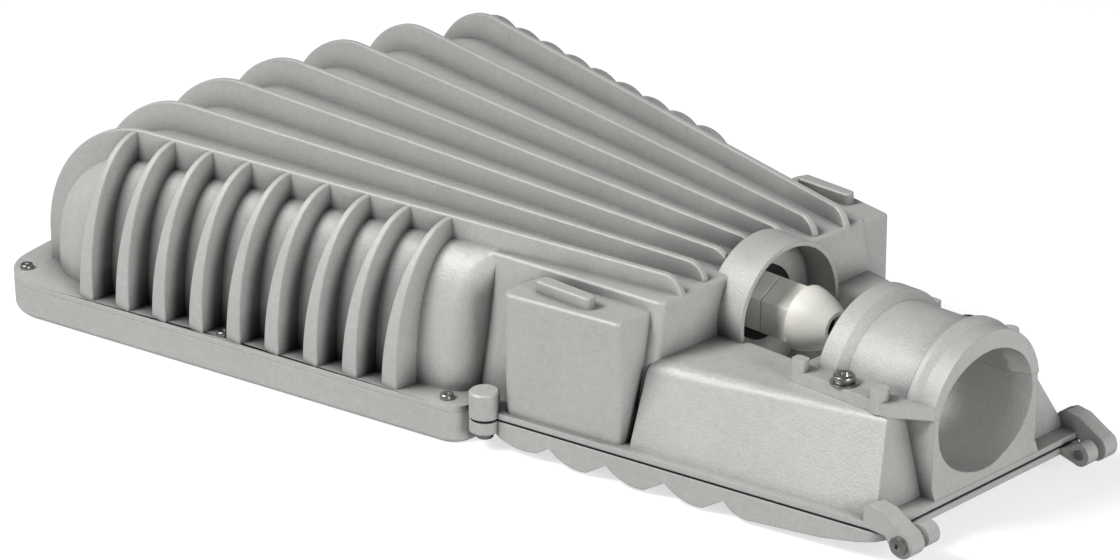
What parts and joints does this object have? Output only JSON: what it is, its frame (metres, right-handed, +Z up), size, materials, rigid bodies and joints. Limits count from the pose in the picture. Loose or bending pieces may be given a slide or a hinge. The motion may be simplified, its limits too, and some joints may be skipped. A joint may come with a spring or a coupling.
{
  "type": "led street light head",
  "caption": "LED street light head: a finned cast housing with a side entry pole clamp, glazed light opening below and a hinged service door under the wiring bay.",
  "frame": {"origin": "on the pole socket's axis, at the outer end of its round clamp bore", "axes": "+X along the socket's axis towards the pole, +Z up, +Y to the left seen from the pole"},
  "size_m": [0.6053, 0.363, 0.1094],
  "materials": {
    "cast_aluminium": "satin cast, light grey coat",
    "black_rubber": "matte",
    "stainless_steel": "satin",
    "clear_glass": "clear, polished",
    "bright_aluminium": "bright spun",
    "white_sheet": "white coated sheet",
    "chip_ceramic": "matte",
    "white_plastic": "satin moulded",
    "black_plastic": "satin moulded",
    "grey_plastic": "satin moulded",
    "driver_case": "satin case",
    "brass_plated": "satin",
    "lead_sheath": "matte sheath"
  },
  "bodies": {
    "housing": {"bay_screws": "stainless_steel", "cable_clip": "black_plastic", "chip_holder_1": "white_plastic", "chip_holder_2": "white_plastic", "chip_holder_3": "white_plastic", "chip_holder_4": "white_plastic", "chip_holder_5": "white_plastic", "chip_holder_6": "white_plastic", "chip_holder_7": "white_plastic", "clamp_bolts": "stainless_steel", "clamp_washers": "stainless_steel", "clip_screws": "stainless_steel", "driver": "driver_case", "driver_screws": "stainless_steel", "earth_screw": "stainless_steel", "frame_gasket": "black_rubber", "frame_screws": "stainless_steel", "gland_body": "white_plastic", "gland_dome_nut": "white_plastic", "gland_locknut": "white_plastic", "gland_seal": "black_rubber", "gland_washer": "black_rubber", "glass_clips": "stainless_steel", "glass_gasket": "black_rubber", "glass_pane": "clear_glass", "hinge_pins": "stainless_steel", "holder_screws": "stainless_steel", "housing": "cast_aluminium", "led_chip_1": "chip_ceramic", "led_chip_2": "chip_ceramic", "led_chip_3": "chip_ceramic", "led_chip_4": "chip_ceramic", "led_chip_5": "chip_ceramic", "led_chip_6": "chip_ceramic", "led_chip_7": "chip_ceramic", "led_leads": "lead_sheath", "lens_frame": "cast_aluminium", "mask_screws": "stainless_steel", "output_lead": "lead_sheath", "pole_clamp": "cast_aluminium", "reflector_1": "bright_aluminium", "reflector_2": "bright_aluminium", "reflector_3": "bright_aluminium", "reflector_4": "bright_aluminium", "reflector_5": "bright_aluminium", "reflector_6": "bright_aluminium", "reflector_7": "bright_aluminium", "reflector_mask": "white_sheet", "supply_lead": "lead_sheath", "surge_lead": "lead_sheath", "surge_protector": "black_plastic", "terminal_block": "grey_plastic", "terminal_screws": "brass_plated", "wall_grommet": "black_rubber"},
    "door": {"door": "cast_aluminium", "door_gasket": "black_rubber", "door_screws": "stainless_steel", "screw_retainers": "black_plastic"}
  },
  "joints": [
    {"name": "door_hinge", "type": "hinge", "parent": "housing", "child": "door", "pos_m": [0.0263, 0, -0.03925], "axis": [0, -1, 0], "range_deg": [0, 95]}
  ]
}
